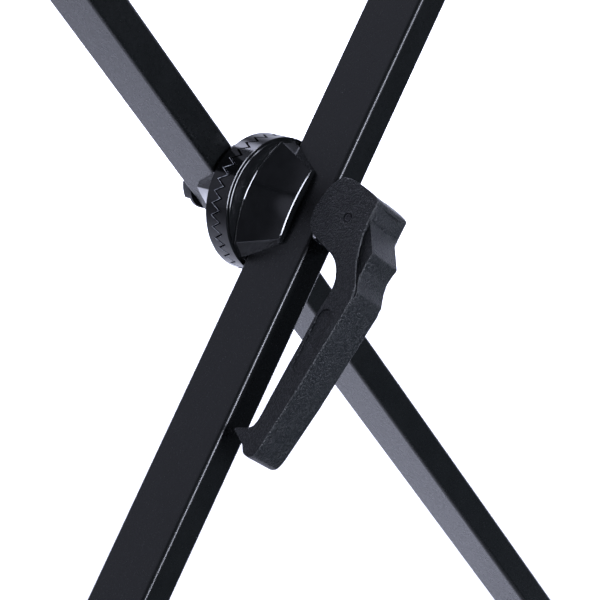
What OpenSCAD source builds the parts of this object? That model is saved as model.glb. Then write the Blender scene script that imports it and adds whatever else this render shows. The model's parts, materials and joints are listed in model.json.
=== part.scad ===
// Folding single-braced keyboard stand. Two crossed legs of flat steel tube turn on one
// draw bolt. A toothed clutch between them is clamped by a cam lever on the front leg.
// Origin: middle of the stand at floor level. X across, Y front to back, Z up, millimetres.

/* [Legs] */
// Distance from the pivot down to the axis of each foot bar
foot_reach = 620; // [540:5:640]
// Distance from the pivot up to the axis of each arm bar
arm_reach = 500; // [440:5:520]
// Lean of each leg from the vertical at rest
leg_angle = 37.2; // [34:0.1:42]
// Width of the leg tube in the plane of the legs
tube_w = 20; // [18:1:22]
// Depth of the leg tube from front to back
tube_d = 40; // [36:1:44]
// Wall of the leg tube
tube_wall = 1.5; // [1.2:0.1:2]
// Outside corner radius of the leg tube
tube_corner = 3; // [2.5:0.25:4]
// Distance from the middle plane to the near face of each leg tube
leg_offset = 12; // [11.5:0.5:14]

/* [Clutch] */
// Radius of the toothed clutch discs
disc_r = 39.8; // [38.5:0.1:42]
// Distance from the middle plane to the outer face of a disc
disc_face = 9.3; // [8.8:0.1:10.5]
// Number of clutch teeth
tooth_count = 36; // [30:2:40]
// Full height of a clutch tooth
tooth_h = 6.2; // [5.6:0.1:6.6]
// Radial length of a clutch tooth
tooth_len = 10; // [8:0.5:12]
// Bevel round the outer face of a disc
disc_bevel = 1.2; // [0.6:0.1:1.6]
// Half width of the saddle where it meets the disc
saddle_half_w = 28.7; // [27:0.1:29.5]
// Radius of the bowed foot of each saddle wing
saddle_bow_r = 65; // [62:1:72]
// Distance from the disc centre to the ends of the saddle
saddle_end_r = 38; // [36:0.5:38]
// Half length of the straight top edge of a saddle wing
wing_half_len = 21; // [18:0.5:24]
// Thickness of a saddle wing at its top edge
wing_edge = 3.2; // [2.5:0.1:4]
// Distance from the middle plane to the top edge of a wing
wing_top = 33.7; // [30:0.1:36]

/* [Draw bolt] */
// Radius of the draw bolt
bolt_r = 5; // [4:0.5:6]
// Radius of the eye at the lever end of the bolt
eye_r = 9; // [8.5:0.1:9.3]
// Width of the bolt's eye past the shank on each side
eye_side = 0.5; // [0.3:0.1:1]
// Distance from the leg tube's face to the lever's pin
pin_gap = 22.5; // [22:0.1:24]
// Radius of the lever's spring pin
pin_r = 2.5; // [2:0.25:3]
// Wall of the lever's spring pin
pin_wall = 1; // [0.8:0.1:1.2]
// Outside radius of the spacer sleeve inside each tube
sleeve_r = 8; // [7.5:0.25:8.5]
// Distance across the flats of the draw bolt's lock nut
bolt_nut_af = 17; // [16:0.5:19]
// Height of the draw bolt's lock nut
bolt_nut_h = 10; // [9:0.5:11]
// Radius of the washer under the lock nut
bolt_washer_r = 12; // [11:0.1:13]
// Thickness of the washer under the lock nut
bolt_washer_t = 2; // [1.5:0.1:2.5]
// Thread showing past the lock nut
bolt_tail = 2.5; // [1:0.5:5]

/* [Release spring] */
// Wire diameter of the release spring
wire_d = 2.2; // [1.8:0.1:2.4]
// Mean radius of the release spring
spring_r = 9.5; // [9:0.1:9.8]
// Turns of the release spring
spring_turns = 4; // [4:0.5:5]
// Thickness left between the spring's recess and the leg tube
recess_wall = 3; // [2.5:0.1:3.5]

/* [Lever] */
// Travel of the draw bolt when the lever opens
lift = 6.5; // [6.3:0.1:6.8]
// Swing of the lever from closed to open
lever_swing = 75; // [70:1:80]
// Thickness of each cheek of the lever's head
cheek_t = 4; // [3.5:0.1:4.5]
// Thickness of the head's front wall
head_wall = 5.4; // [5:0.1:6]
// Radius of the cheeks round the pin on the tube's side
cheek_r = 25.5; // [24.5:0.1:26]
// Width of the lever's grip
grip_w = 25; // [23:0.5:27]
// Distance from the pin down to the tip of the grip
grip_len = 139; // [130:1:150]
// Width of the thumb ridge
ridge_w = 24; // [22:0.5:25]
// Height of the thumb ridge's tip above the pin
ridge_tip = 25.2; // [24.8:0.1:26]
// Radius of the finger cut-out behind the grip
finger_r = 16; // [14:0.5:17]
// Thickness of the wear plate that the cam bears on
plate_t = 2.2; // [1.8:0.1:2.4]
// Half length of the wear plate along the tube
plate_half = 15; // [13:0.5:18]

/* [Cross bars] */
// Outside radius of the cross bars
bar_r = 15; // [14.5:0.1:15.3]
// Wall of the cross bars
bar_wall = 1.5; // [1.2:0.1:2]
// Half of the stand's depth, over the end caps
half_depth = 200; // [180:5:220]
// Length of the end caps on the cross bars
cap_len = 40; // [30:1:45]
// Rubber thickness of the end caps round the bar
cap_wall = 3.4; // [3:0.1:3.5]
// Rubber thickness of the end caps over the bar's end
cap_end = 4; // [3:0.5:6]
// Rounding of the end caps
cap_round = 3; // [2:0.25:3.5]
// Depth of the flat tread under the foot caps
tread_cut = 0.6; // [0.5:0.1:1]
// Gap between a sleeve on an arm and the cradle
grip_pad_inset = 13; // [4:1:20]
// Rubber thickness of the sleeves on the arms
grip_pad_wall = 2.9; // [2:0.1:3]
// Gap between a sleeve on an arm and the end cap
grip_pad_gap = 5; // [2:0.5:8]

/* [Cradles] */
// Steel thickness beside the cross bar
cradle_side = 2.4; // [2:0.1:2.6]
// Steel thickness between the cross bar and the leg tube
cradle_top = 4; // [3:0.1:6]
// Width of the flat that the leg tube is welded to
cradle_flat = 26; // [24:0.5:30]
// Height of the cradle's upright sides
cradle_skirt = 6; // [4:0.5:9]
// Distance from the leg tube's face to a cradle bolt
cradle_bolt_gap = 18; // [15:0.5:22]
// Distance from a cradle bolt to the cradle's end
cradle_end = 17; // [12:0.5:20]
// Radius of the cradle bolts
screw_r = 3; // [2.5:0.25:3]
// Radius of the cradle bolts' button heads
screw_head_r = 5.25; // [5:0.05:5.5]
// Height of the cradle bolts' button heads
screw_head_h = 3.3; // [2.8:0.1:3.5]
// Distance across the flats of the cradle bolts' lock nuts
screw_nut_af = 10; // [9:0.5:11]
// Height of the cradle bolts' lock nuts
screw_nut_h = 6; // [5:0.5:7]
// Radius of the washers under the cradle bolts' nuts
screw_washer_r = 6; // [5.9:0.1:7]
// Thickness of the washers under the cradle bolts' nuts
screw_washer_t = 1.6; // [1.2:0.1:2]
// Thread showing past the cradle bolts' nuts
screw_tail = 1.5; // [1:0.1:3]

/* [Hidden] */
$fn = 96;

// Named clearances
running_fit = 0.05;
hole_clear = 0.25;
seat_fit = 0.1;
slot_clear = 0.5;
eye_clear = 0.3;
cam_clear = 0.15;
tooth_clear = 0.15;
spring_clear = 1.5;
spring_seat = 0.15;
head_clear = 2;

// How far a piece of a sub-part runs into the next one
wing_lap = 0.2;
wing_cap = 1;
tooth_sink = 1;
eye_room = 3;

// Places that follow from the sizes above
cap_r = bar_r + seat_fit + cap_wall;
pivot_z = foot_reach * cos(leg_angle) + cap_r - tread_cut;
leg_y = leg_offset + tube_d / 2;
tube_face = leg_offset + tube_d;
pin_y = tube_face + pin_gap;
cradle_r = bar_r + seat_fit;
cradle_seat = cradle_r + cradle_top;
cradle_half_w = cradle_r + cradle_side;
cradle_len = tube_d + 2 * (cradle_bolt_gap + cradle_end);
screw_y = tube_d / 2 + cradle_bolt_gap;
bar_half = half_depth - cap_end;
tooth_pitch = 360 / tooth_count;
tooth_root = tooth_h / 2;
tooth_phase = 8;
recess_r = spring_r + wire_d / 2 + spring_clear;
recess_floor = leg_offset - recess_wall;
slot_half = tube_w / 2 + slot_clear;
head_half = slot_half + cheek_t;
tube_reach = pin_gap - plate_t - head_clear;
cam_gap = pin_gap - plate_t - cam_clear;
cam_turn = (180 - lever_swing) / 2;
cam_throw = lift / (2 * cos(cam_turn));
cam_r = cam_gap - cam_throw * cos(cam_turn);
eye_w = 2 * (bolt_r + eye_side);
cavity_front = eye_r + 2 * eye_clear;
head_front = cavity_front + head_wall;
finger_t = -37;
finger_o = 9.9 - finger_r;

// Colours
coat = [0.10, 0.10, 0.11];
coat_dark = [0.05, 0.05, 0.06];
rubber = [0.07, 0.07, 0.07];
moulding = [0.13, 0.13, 0.14];
zinc = [0.62, 0.62, 0.60];
steel = [0.45, 0.45, 0.46];

// Legs: in a leg's own frame X is across the tube, Y front to back, Z up along the tube
module on_front_leg() {
    translate([0, 0, pivot_z]) rotate([0, leg_angle, 0]) children();
}

module on_rear_leg() {
    translate([0, 0, pivot_z]) rotate([0, -leg_angle, 0]) mirror([0, 1, 0]) children();
}

// The end of a leg at which Z points outward, the lower one as the upper one's reflection
module at_foot() {
    translate([0, 0, -foot_reach]) mirror([0, 0, 1]) children();
}

module at_arm() {
    translate([0, 0, arm_reach]) children();
}

module along_y(from, to, r) {
    translate([0, from, 0]) rotate([-90, 0, 0]) cylinder(h = to - from, r = r);
}

module rounded_section(w, d, r) {
    square([w - 2 * r, d], center = true);
    square([w, d - 2 * r], center = true);
    for (x = [-1, 1], y = [-1, 1])
        translate([x * (w / 2 - r), y * (d / 2 - r)]) circle(r);
}

module hex_nut(af, h, bore) {
    difference() {
        union() {
            cylinder(h = 0.75 * h, r = af / 2 / cos(30), $fn = 6);
            cylinder(h = 0.9 * h, r = 0.47 * af);
            cylinder(h = h, r = 0.42 * af);
        }
        translate([0, 0, -1]) cylinder(h = h + 2, r = bore);
    }
}

module flat_washer(r, t, bore) {
    difference() {
        cylinder(h = t, r = r);
        translate([0, 0, -1]) cylinder(h = t + 2, r = bore);
    }
}

// Leg tubes
module leg_tube() {
    lower = foot_reach - cradle_seat;
    upper = arm_reach - cradle_seat;
    difference() {
        translate([0, -leg_y, -lower]) linear_extrude(lower + upper) difference() {
            rounded_section(tube_w, tube_d, tube_corner);
            rounded_section(tube_w - 2 * tube_wall, tube_d - 2 * tube_wall,
                tube_corner - tube_wall);
        }
        along_y(-tube_face - 1, -leg_offset + 1, bolt_r + hole_clear);
    }
}

module spacer_sleeve() {
    difference() {
        along_y(-tube_face + tube_wall, -leg_offset - tube_wall, sleeve_r);
        along_y(-tube_face, -leg_offset, bolt_r + running_fit);
    }
}

// Clutch halves
module saddle_outline() {
    bow = saddle_bow_r - saddle_half_w;
    intersection() {
        circle(saddle_end_r);
        translate([bow, 0]) circle(saddle_bow_r, $fn = 180);
        translate([-bow, 0]) circle(saddle_bow_r, $fn = 180);
    }
}

module saddle_slab(from, to) {
    translate([0, from, 0]) rotate([-90, 0, 0]) linear_extrude(to - from) saddle_outline();
}

module saddle_wing(side) {
    inner = tube_w / 2 + seat_fit;
    hull() {
        intersection() {
            saddle_slab(-leg_offset + wing_lap, -disc_face);
            translate([side > 0 ? inner : -inner - 2 * disc_r, -leg_offset, -disc_r])
                cube([2 * disc_r, leg_offset, 2 * disc_r]);
        }
        translate([side > 0 ? inner : -inner - wing_edge, -wing_top, -wing_half_len])
            cube([wing_edge, wing_cap, 2 * wing_half_len]);
    }
}

// Crown of radial teeth, one closed ring sunk into the disc. The crests stop short of the
// middle plane, so that the legs turn clear of each other.
function ring_point(r, angle, y) = [r * cos(angle), y, r * sin(angle)];

module tooth_ring(phase) {
    outer = disc_r - seat_fit;
    inner = disc_r - tooth_len;
    sunk = tooth_root + tooth_sink;
    flank = tooth_pitch / 2 * (1 - (tooth_root - tooth_clear) / tooth_h);
    corners = [[-tooth_pitch / 2, -tooth_root], [-flank, -tooth_clear], [flank, -tooth_clear]];
    count = 3 * tooth_count;
    points = [for (i = [0 : tooth_count - 1], c = corners)
        let (angle = phase + i * tooth_pitch + c[0])
        each [ring_point(outer, angle, c[1]), ring_point(inner, angle, c[1]),
            ring_point(inner, angle, -sunk), ring_point(outer, angle, -sunk)]];
    faces = [for (i = [0 : count - 1], k = [0 : 3])
        let (a = 4 * i + k, b = 4 * i + (k + 1) % 4,
            c = 4 * ((i + 1) % count) + (k + 1) % 4, d = 4 * ((i + 1) % count) + k)
        each [[a, c, b], [a, d, c]]];
    polyhedron(points, faces, convexity = 10);
}

module clutch_half(phase) {
    difference() {
        union() {
            rotate([-90, 0, 0]) rotate_extrude() polygon([[0, -disc_face],
                [disc_r - disc_bevel, -disc_face], [disc_r, -disc_face + disc_bevel],
                [disc_r, -tooth_root], [0, -tooth_root]]);
            saddle_slab(-leg_offset, -disc_face);
            for (side = [-1, 1]) saddle_wing(side);
            tooth_ring(phase);
        }
        along_y(-leg_offset - 1, 1, bolt_r + running_fit);
        along_y(-recess_floor, 1, recess_r);
    }
}

// Wear plate under the cam
module wear_plate() {
    difference() {
        translate([0, -tube_face - plate_t, 0]) rotate([-90, 0, 0]) linear_extrude(plate_t)
            rounded_section(tube_w - 2 * seat_fit, 2 * plate_half, tube_corner);
        along_y(-tube_face - plate_t - 1, -tube_face + 1, bolt_r + hole_clear);
    }
}

// Cradles, cross bars and what is on them: here Z points outward from the pivot,
// with the cross bar's axis at the origin
module cradle() {
    difference() {
        translate([0, -leg_y + cradle_len / 2, 0]) rotate([90, 0, 0]) linear_extrude(cradle_len)
            polygon([[-cradle_half_w, 0], [cradle_half_w, 0], [cradle_half_w, -cradle_skirt],
                [cradle_flat / 2, -cradle_seat], [-cradle_flat / 2, -cradle_seat],
                [-cradle_half_w, -cradle_skirt]]);
        along_y(-leg_y - cradle_len, -leg_y + cradle_len, cradle_r);
        screw_holes();
    }
}

module at_screws() {
    for (y = [-leg_y - screw_y, -leg_y + screw_y]) translate([0, y, 0]) children();
}

module screw_holes() {
    reach = 2 * cradle_seat;
    at_screws() translate([0, 0, -reach]) cylinder(h = 2 * reach, r = screw_r + hole_clear);
}

module cross_bar() {
    difference() {
        along_y(-bar_half, bar_half, bar_r);
        along_y(-bar_half - 1, bar_half + 1, bar_r - bar_wall);
        screw_holes();
    }
}

module end_cap() {
    bore = bar_r + seat_fit;
    rotate([-90, 0, 0]) rotate_extrude() difference() {
        union() {
            translate([0, half_depth - cap_len]) square([cap_r, cap_len - cap_round]);
            square_top = half_depth - cap_round;
            translate([0, square_top]) square([cap_r - cap_round, cap_round]);
            translate([cap_r - cap_round, square_top]) circle(cap_round);
        }
        translate([-cap_r, 0]) square([cap_r, 2 * half_depth]);
        translate([0, 0]) square([bore, bar_half]);
    }
}

module end_caps() {
    end_cap();
    mirror([0, 1, 0]) end_cap();
}

module grip_pads() {
    from = leg_y + cradle_len / 2 + grip_pad_inset;
    to = half_depth - cap_len - grip_pad_gap;
    for (side = [0, 1]) mirror([0, side, 0]) difference() {
        along_y(from, to, bar_r + seat_fit + grip_pad_wall);
        along_y(from - 1, to + 1, bar_r + seat_fit);
    }
}

module screws() {
    shank = cradle_seat + screw_washer_t + screw_nut_h + screw_tail;
    dome = (screw_head_r * screw_head_r + screw_head_h * screw_head_h) / (2 * screw_head_h);
    at_screws() difference() {
        union() {
            translate([0, 0, -shank]) cylinder(h = shank + bar_r, r = screw_r);
            translate([0, 0, bar_r]) rotate_extrude() intersection() {
                square([screw_head_r, screw_head_h]);
                translate([0, screw_head_h - dome]) circle(dome);
            }
        }
        translate([0, 0, bar_r + screw_head_h / 2])
            cylinder(h = screw_head_h, r = 0.75 * screw_r, $fn = 6);
    }
}

module screw_washers() {
    at_screws() translate([0, 0, -cradle_seat - screw_washer_t])
        flat_washer(screw_washer_r, screw_washer_t, screw_r + hole_clear);
}

module screw_nuts() {
    at_screws() translate([0, 0, -cradle_seat - screw_washer_t]) rotate([180, 0, 0])
        hex_nut(screw_nut_af, screw_nut_h, screw_r + running_fit);
}

module above_floor() {
    span = 4 * foot_reach;
    difference() {
        children();
        translate([-span / 2, -span / 2, -span]) cube([span, span, span]);
    }
}

// Draw bolt and its nut
module eye_bolt() {
    tail = tube_face + bolt_washer_t + bolt_nut_h + bolt_tail;
    difference() {
        union() {
            along_y(-pin_y, tail, bolt_r);
            translate([0, -pin_y, 0]) rotate([0, 90, 0])
                cylinder(h = eye_w, r = eye_r, center = true);
        }
        translate([0, -pin_y, 0]) rotate([0, 90, 0])
            cylinder(h = 2 * eye_w, r = pin_r + running_fit, center = true);
    }
}

// Release spring: one wire swept round the bolt between the two recesses
function spring_point(i, rings) = let (a = 360 * spring_turns * i / rings,
    half = recess_floor - wire_d / 2 - spring_seat)
    [spring_r * cos(a), -half + 2 * half * i / rings, spring_r * sin(a)];

function spring_ring(i, rings, sides) = let (
    p = spring_point(i, rings),
    ahead = spring_point(i + 0.5, rings) - spring_point(i - 0.5, rings),
    along = ahead / norm(ahead),
    out = [p[0], 0, p[2]] / spring_r,
    up = cross(along, out))
    [for (k = [0 : sides - 1]) p + wire_d / 2 * (cos(360 * k / sides) * out
        + sin(360 * k / sides) * up)];

module wire_spring() {
    sides = 6;
    rings = 12 * spring_turns;
    points = [for (i = [0 : rings], p = spring_ring(i, rings, sides)) p];
    quads = [for (i = [0 : rings - 1], k = [0 : sides - 1])
        let (a = i * sides + k, b = i * sides + (k + 1) % sides)
        each [[a, b, b + sides], [a, b + sides, a + sides]]];
    start = [for (k = [1 : sides - 2]) [0, k + 1, k]];
    last = rings * sides;
    end = [for (k = [1 : sides - 2]) [last, last + k, last + k + 1]];
    polyhedron(points, concat(quads, start, end), convexity = 10);
}

// Lever: drawn from the side, X up along the tube from the pin and Y outward from the tube
module from_side(w) {
    translate([0, -pin_y, 0]) rotate(180, [1, 0, 1]) linear_extrude(w, center = true) children();
}

module head_side() {
    difference() {
        union() {
            intersection() {
                circle(cheek_r);
                translate([-14, -cheek_r]) square([30, cheek_r]);
            }
            polygon([[16, -20], [20.5, -17.5], [21.7, -11.5], [18, 4.5], [14, head_front],
                [-5, head_front], [-14, head_front + 2], [-28, 21], [-36, 24.6], [-42, 25.4],
                [-42, 8], [-21, -2], [-14, -19]]);
        }
        translate([finger_t, finger_o]) circle(finger_r);
    }
}

module grip_side() {
    tip = -grip_len;
    polygon([[-35, 24.2], [-42, 25.4], [-100, 15.8], [tip + 9, 10.4], [tip + 3, 7.5],
        [tip + 0.5, 3], [tip + 2, -1], [tip + 6, -5], [tip + 10.5, -12.5], [tip + 15, -3],
        [tip + 20, 0.8], [-80, 5.2], [-44, 9.4], [finger_t, finger_o + finger_r], [-33, 9.4]]);
}

module ridge_side() {
    polygon([[1.5, head_front - 1], [-15, ridge_tip], [-19.5, 24], [-25, 23.2], [-31, 23.7],
        [-37, 24.7], [-37, 14], [1.5, 12]]);
}

// Room between the cheeks for the eye, the draw bolt and the front of the tube
module head_cavity() {
    reach = 2 * cheek_r;
    translate([-eye_r - eye_room, -reach]) square([2 * reach, reach + cavity_front]);
    translate([-reach, -reach]) square([2 * reach, reach - tube_reach]);
}

module lever() {
    difference() {
        union() {
            difference() {
                from_side(2 * head_half) head_side();
                from_side(2 * slot_half) head_cavity();
            }
            from_side(grip_w) grip_side();
            from_side(ridge_w) ridge_side();
            for (side = [-1, 1]) cam_lobe(side);
        }
        from_side(3 * head_half) circle(pin_r + running_fit / 2);
    }
}

module cam_lobe(side) {
    inner = eye_w / 2 + eye_clear;
    thick = slot_half + 0.1 - inner;
    translate([side * (inner + thick / 2), 0, 0]) from_side(thick)
        translate([-cam_throw * sin(cam_turn), -cam_throw * cos(cam_turn)]) circle(cam_r);
}

module spring_pin() {
    length = 2 * (head_half - 0.2);
    translate([0, -pin_y, 0]) rotate([0, 90, 0]) difference() {
        cylinder(h = length, r = pin_r, center = true);
        cylinder(h = length + 2, r = pin_r - pin_wall, center = true);
        translate([0, -pin_r, 0]) cube([pin_wall, 2 * pin_r, length + 2], center = true);
    }
}

// Sub-parts of the front leg
module front_leg_tube() { color(coat) on_front_leg() leg_tube(); }
module front_clutch_half() { color(coat_dark) on_front_leg() clutch_half(tooth_phase + leg_angle); }
module front_spacer_sleeve() { color(steel) on_front_leg() spacer_sleeve(); }
module cam_wear_plate() { color(steel) on_front_leg() wear_plate(); }
module front_foot_cradle() { color(coat) on_front_leg() at_foot() cradle(); }
module front_arm_cradle() { color(coat) on_front_leg() at_arm() cradle(); }
module front_foot_bar() { color(coat) on_front_leg() at_foot() cross_bar(); }
module front_arm_bar() { color(coat) on_front_leg() at_arm() cross_bar(); }
module front_foot_caps() { color(rubber) above_floor() on_front_leg() at_foot() end_caps(); }
module front_arm_caps() { color(rubber) on_front_leg() at_arm() end_caps(); }
module front_arm_sleeves() { color(rubber) on_front_leg() at_arm() grip_pads(); }
module front_foot_bolts() { color(zinc) on_front_leg() at_foot() screws(); }
module front_foot_washers() { color(zinc) on_front_leg() at_foot() screw_washers(); }
module front_foot_nuts() { color(zinc) on_front_leg() at_foot() screw_nuts(); }
module front_arm_bolts() { color(zinc) on_front_leg() at_arm() screws(); }
module front_arm_washers() { color(zinc) on_front_leg() at_arm() screw_washers(); }
module front_arm_nuts() { color(zinc) on_front_leg() at_arm() screw_nuts(); }

// Sub-parts of the rear leg
module rear_leg_tube() { color(coat) on_rear_leg() leg_tube(); }
module rear_clutch_half() {
    color(coat_dark) on_rear_leg() clutch_half(tooth_phase + tooth_pitch / 2 - leg_angle);
}
module rear_spacer_sleeve() { color(steel) on_rear_leg() spacer_sleeve(); }
module rear_foot_cradle() { color(coat) on_rear_leg() at_foot() cradle(); }
module rear_arm_cradle() { color(coat) on_rear_leg() at_arm() cradle(); }
module rear_foot_bar() { color(coat) on_rear_leg() at_foot() cross_bar(); }
module rear_arm_bar() { color(coat) on_rear_leg() at_arm() cross_bar(); }
module rear_foot_caps() { color(rubber) above_floor() on_rear_leg() at_foot() end_caps(); }
module rear_arm_caps() { color(rubber) on_rear_leg() at_arm() end_caps(); }
module rear_arm_sleeves() { color(rubber) on_rear_leg() at_arm() grip_pads(); }
module rear_foot_bolts() { color(zinc) on_rear_leg() at_foot() screws(); }
module rear_foot_washers() { color(zinc) on_rear_leg() at_foot() screw_washers(); }
module rear_foot_nuts() { color(zinc) on_rear_leg() at_foot() screw_nuts(); }
module rear_arm_bolts() { color(zinc) on_rear_leg() at_arm() screws(); }
module rear_arm_washers() { color(zinc) on_rear_leg() at_arm() screw_washers(); }
module rear_arm_nuts() { color(zinc) on_rear_leg() at_arm() screw_nuts(); }

// Draw bolt, its nut and the release spring, square with the front leg
module draw_bolt() { color(zinc) on_front_leg() eye_bolt(); }
module bolt_washer() {
    color(coat_dark) on_front_leg() translate([0, tube_face, 0]) rotate([-90, 0, 0])
        flat_washer(bolt_washer_r, bolt_washer_t, bolt_r + running_fit);
}
module bolt_lock_nut() {
    color(coat_dark) on_front_leg() translate([0, tube_face + bolt_washer_t, 0])
        rotate([-90, 0, 0]) hex_nut(bolt_nut_af, bolt_nut_h, bolt_r + running_fit);
}
module release_spring() { color(steel) on_front_leg() wire_spring(); }

// Lever and its pin
module clamp_lever() { color(moulding) on_front_leg() lever(); }
module lever_pin() { color(steel) on_front_leg() spring_pin(); }

front_leg_tube();
front_clutch_half();
front_spacer_sleeve();
cam_wear_plate();
front_foot_cradle();
front_arm_cradle();
front_foot_bar();
front_arm_bar();
front_foot_caps();
front_arm_caps();
front_arm_sleeves();
front_foot_bolts();
front_foot_washers();
front_foot_nuts();
front_arm_bolts();
front_arm_washers();
front_arm_nuts();
rear_leg_tube();
rear_clutch_half();
rear_spacer_sleeve();
rear_foot_cradle();
rear_arm_cradle();
rear_foot_bar();
rear_arm_bar();
rear_foot_caps();
rear_arm_caps();
rear_arm_sleeves();
rear_foot_bolts();
rear_foot_washers();
rear_foot_nuts();
rear_arm_bolts();
rear_arm_washers();
rear_arm_nuts();
draw_bolt();
bolt_washer();
bolt_lock_nut();
release_spring();
clamp_lever();
lever_pin();
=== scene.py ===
import json
from math import atan2, cos, hypot, pi, radians, sin, sqrt

import bmesh
import bpy
from mathutils import Matrix, Vector


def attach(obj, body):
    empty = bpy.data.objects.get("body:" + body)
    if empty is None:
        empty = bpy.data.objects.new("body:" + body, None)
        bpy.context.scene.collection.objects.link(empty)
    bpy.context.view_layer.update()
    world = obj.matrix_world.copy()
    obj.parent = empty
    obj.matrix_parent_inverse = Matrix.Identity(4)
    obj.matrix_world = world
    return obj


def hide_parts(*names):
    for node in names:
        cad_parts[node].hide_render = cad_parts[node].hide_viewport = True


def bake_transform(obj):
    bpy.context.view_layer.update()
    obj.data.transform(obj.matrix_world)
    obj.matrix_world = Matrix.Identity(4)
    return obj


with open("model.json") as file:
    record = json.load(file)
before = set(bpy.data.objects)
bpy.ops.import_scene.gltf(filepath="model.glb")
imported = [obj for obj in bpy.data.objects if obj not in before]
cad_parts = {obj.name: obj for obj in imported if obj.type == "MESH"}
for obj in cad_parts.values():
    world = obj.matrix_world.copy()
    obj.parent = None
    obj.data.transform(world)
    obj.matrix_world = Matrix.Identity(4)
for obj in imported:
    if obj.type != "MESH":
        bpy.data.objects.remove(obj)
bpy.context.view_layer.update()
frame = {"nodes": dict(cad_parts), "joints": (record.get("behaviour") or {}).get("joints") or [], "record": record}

# Sizes are in millimetres. Each leg has its own frame: X across the tube, Y front to back,
# Z up along the tube, with the pivot at the origin.
mm = 0.001
past = 5              # how far a cutting tool runs past what it cuts
joints = {joint["name"]: joint for joint in frame["joints"]}
pivot = Vector(joints["leg_fold"]["pos_m"])
leverAxis = joints["lever_swing"]["axis"]
lean = atan2(leverAxis[2], -leverAxis[0])
pinY = -joints["lever_swing"]["pos_m"][1] / mm

toPivot = Matrix.Translation(pivot) @ Matrix.Scale(mm, 4)
legs = {
    "front": toPivot @ Matrix.Rotation(lean, 4, "Y"),
    "rear": toPivot @ Matrix.Rotation(-lean, 4, "Y") @ Matrix.Scale(-1, 4, (0, 1, 0)),
}
footReach = 620       # from the pivot down to a foot bar's axis
armReach = 500        # from the pivot up to an arm bar's axis
upsideDown = Matrix.Scale(-1, 4, (0, 0, 1))
print("frame loaded, legs lean", round(lean * 180 / pi, 2), "degrees")


# Meshes
def meshOf(points, faces):
    mesh = bpy.data.meshes.new("mesh")
    mesh.from_pydata([tuple(point) for point in points], [], faces)
    work = bmesh.new()
    work.from_mesh(mesh)
    bmesh.ops.remove_doubles(work, verts=work.verts, dist=1e-4)
    bmesh.ops.recalc_face_normals(work, faces=work.faces)
    work.to_mesh(mesh)
    work.free()
    return mesh


def loft(rings, looped=False):
    # Skin over rings of points; the end rings are filled unless the skin closes on itself
    size = len(rings[0])
    points = [point for ring in rings for point in ring]
    faces = []
    for i in range(len(rings) if looped else len(rings) - 1):
        here, ahead = i * size, (i + 1) % len(rings) * size
        for k in range(size):
            after = (k + 1) % size
            faces.append((here + k, here + after, ahead + after, ahead + k))
    if not looped:
        faces.append(tuple(range(size)))
        faces.append(tuple(range(len(points) - size, len(points))))
    return meshOf(points, faces)


def around(radius, y, angle):
    return Vector((radius * cos(angle), y, radius * sin(angle)))


def revolve(profile, steps=64):
    # profile is a closed outline of (radius, place along Y)
    return loft([[around(r, y, 2 * pi * i / steps) for r, y in profile] for i in range(steps)],
                looped=True)


def hoop(centre, radius, out, up, sides):
    # The round section of a bead or a wire, square to its run
    turns = [2 * pi * k / sides for k in range(sides)]
    return [centre + radius * (cos(a) * out + sin(a) * up) for a in turns]


def prism(outline, low, high, place):
    # place turns (u, v, w) into a point; the outline is in u and v
    return loft([[place(u, v, w) for u, v in outline] for w in (low, high)])


def upright(u, v, w):
    return Vector((u, v, w))


def lengthwise(u, v, w):
    # Drawn in X and Z, and as long as the part is from front to back
    return Vector((u, w, v))


def fromSide(t, o, s):
    # The lever's own drawing plane: t up the tube from the pin, o outward, s across
    return Vector((s, -pinY - o, t))


def circleOutline(radius, steps, u=0.0, v=0.0):
    return [(u + radius * cos(2 * pi * k / steps), v + radius * sin(2 * pi * k / steps))
            for k in range(steps)]


def roundedRectangle(width, depth, corner, steps=8):
    outline = []
    for quarter, (sideX, sideY) in enumerate([(1, 1), (-1, 1), (-1, -1), (1, -1)]):
        for k in range(steps + 1):
            angle = pi / 2 * (quarter + k / steps)
            outline.append((sideX * (width / 2 - corner) + corner * cos(angle),
                            sideY * (depth / 2 - corner) + corner * sin(angle)))
    return outline


def held(mesh):
    # An object for the mesh, while a modifier works on it
    thing = bpy.data.objects.new("held", mesh)
    bpy.context.scene.collection.objects.link(thing)
    return thing


def modified(mesh, kind, **settings):
    thing = held(mesh)
    modifier = thing.modifiers.new(kind.lower(), kind)
    for name, value in settings.items():
        setattr(modifier, name, value)
    bpy.context.view_layer.update()
    graph = bpy.context.evaluated_depsgraph_get()
    result = bpy.data.meshes.new_from_object(thing.evaluated_get(graph))
    bpy.data.objects.remove(thing)
    return result


def combined(mesh, other, operation):
    tool = held(other)
    result = modified(mesh, "BOOLEAN", object=tool, operation=operation, solver="EXACT")
    bpy.data.objects.remove(tool)
    return result


def cut(mesh, *tools):
    for tool in tools:
        mesh = combined(mesh, tool, "DIFFERENCE")
    return mesh


def added(mesh, *others):
    for other in others:
        mesh = combined(mesh, other, "UNION")
    return mesh


def softened(mesh, width, steps=2, angle=30):
    return modified(mesh, "BEVEL", width=width, segments=steps, limit_method="ANGLE",
                    angle_limit=radians(angle), harden_normals=False)


def bevelled(mesh, width, segments, chosen):
    # Bevels the outer edges whose middle point is chosen
    work = bmesh.new()
    work.from_mesh(mesh)
    weights = work.edges.layers.float.get("bevel_weight_edge")
    weights = weights or work.edges.layers.float.new("bevel_weight_edge")
    for edge in work.edges:
        middle = (edge.verts[0].co + edge.verts[1].co) / 2
        outer = len(edge.link_faces) == 2 and edge.calc_face_angle_signed(0) > radians(24)
        edge[weights] = 1.0 if outer and chosen(middle) else 0.0
    marked = bpy.data.meshes.new("mesh")
    work.to_mesh(marked)
    work.free()
    return modified(marked, "BEVEL", width=width, segments=segments, limit_method="WEIGHT")


def moved(mesh, matrix):
    copy = mesh.copy()
    copy.transform(matrix)
    if matrix.is_negative:
        copy.flip_normals()
    return copy


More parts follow.
